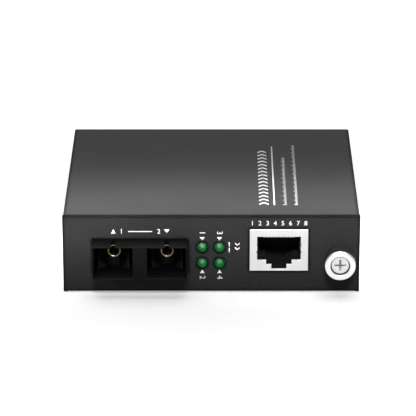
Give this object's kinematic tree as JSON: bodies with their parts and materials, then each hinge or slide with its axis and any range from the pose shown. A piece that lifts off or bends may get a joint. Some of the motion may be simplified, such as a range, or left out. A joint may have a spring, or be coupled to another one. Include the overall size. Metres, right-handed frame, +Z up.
{
  "type": "fibre media converter",
  "caption": "Slide-in fibre to copper converter: folded metal case, duplex optical receptacle, shielded copper jack, indicator lights and a captive fixing screw.",
  "frame": {"origin": "centre of the underside: the middle of the case's width and depth, on the tray's lower face", "axes": "+X to the right seen from the front panel, +Y from the front panel to the rear along the fixing screw, +Z up"},
  "size_m": [0.082, 0.0831, 0.0224],
  "materials": {
    "black_powder_coat": "fine-grained black powder coat on folded steel",
    "grey_powder_coat": "fine-grained dark grey powder coat on folded steel",
    "black_zinc": "black zinc plate",
    "nickel_plate": "nickel plate",
    "bright_nickel": "turned and bright plated",
    "black_anodised": "black anodised, turned or extruded",
    "circuit_board": "green solder mask over glass laminate",
    "clear_film": "insulating polyester film",
    "black_moulding": "black moulded plastic, fine spark texture",
    "dark_moulding": "black moulded plastic, slightly glossier",
    "gold_bronze": "gold-plated bronze",
    "gold_can": "gold-plated can",
    "tin_plate": "matt tin plate",
    "green_lens": "tinted diffuse green lens, unlit",
    "spring_steel": "spring steel",
    "chip_epoxy": "black moulding compound",
    "thermal_pad": "silicone gap pad",
    "capacitor_can": "sleeved aluminium can",
    "chip_ceramic": "glazed ceramic body",
    "white_ink": "printed marks"
  },
  "bodies": {
    "case": {"base_tray": "black_powder_coat", "top_cover": "grey_powder_coat", "cover_screws": "black_zinc", "board_standoffs": "nickel_plate", "board_screws": "nickel_plate", "main_board": "circuit_board", "insulator_sheet": "clear_film", "sc_receptacle": "black_moulding", "tx_ferrule_sleeve": "gold_bronze", "rx_ferrule_sleeve": "gold_bronze", "tx_latch_hooks": "dark_moulding", "rx_latch_hooks": "dark_moulding", "laser_can": "gold_can", "detector_can": "gold_can", "transceiver_housing": "black_moulding", "transceiver_board": "circuit_board", "transceiver_pins": "tin_plate", "rj45_shield": "tin_plate", "rj45_insert": "black_moulding", "rj45_contacts": "gold_bronze", "led_fibre": "green_lens", "led_copper": "green_lens", "led_power": "green_lens", "led_speed": "green_lens", "led_holder": "black_moulding", "led_leads": "tin_plate", "screw_sleeve": "black_anodised", "sleeve_face_ring": "bright_nickel", "screw_spring": "spring_steel", "dc_jack_body": "black_moulding", "dc_jack_pin": "nickel_plate", "dc_jack_contact": "nickel_plate", "lan_transformer": "black_moulding", "lan_transformer_pins": "tin_plate", "switch_chip": "chip_epoxy", "switch_chip_leads": "tin_plate", "thermal_pad": "thermal_pad", "heat_sink": "black_anodised", "manager_chip": "chip_epoxy", "manager_chip_leads": "tin_plate", "memory_chip": "chip_epoxy", "crystal_can": "nickel_plate", "bulk_capacitors": "capacitor_can", "power_inductor": "chip_epoxy", "regulator": "chip_epoxy", "chip_passives": "chip_ceramic"},
    "screw_washer": {"spring_washer": "nickel_plate"},
    "captive_screw": {"captive_screw": "bright_nickel", "retaining_clip": "spring_steel"}
  },
  "joints": [
    {"name": "screw_push", "type": "slide", "parent": "case", "child": "screw_washer", "axis": [0, 1, 0], "range_m": [0, 0.0025], "stiffness_N_per_m": 400, "springref_m": -0.002, "deforming": ["screw_spring"]},
    {"name": "screw_turn", "type": "hinge", "parent": "screw_washer", "child": "captive_screw", "pos_m": [0.03547, 0, 0.00955], "axis": [0, 1, 0], "continuous": true}
  ]
}
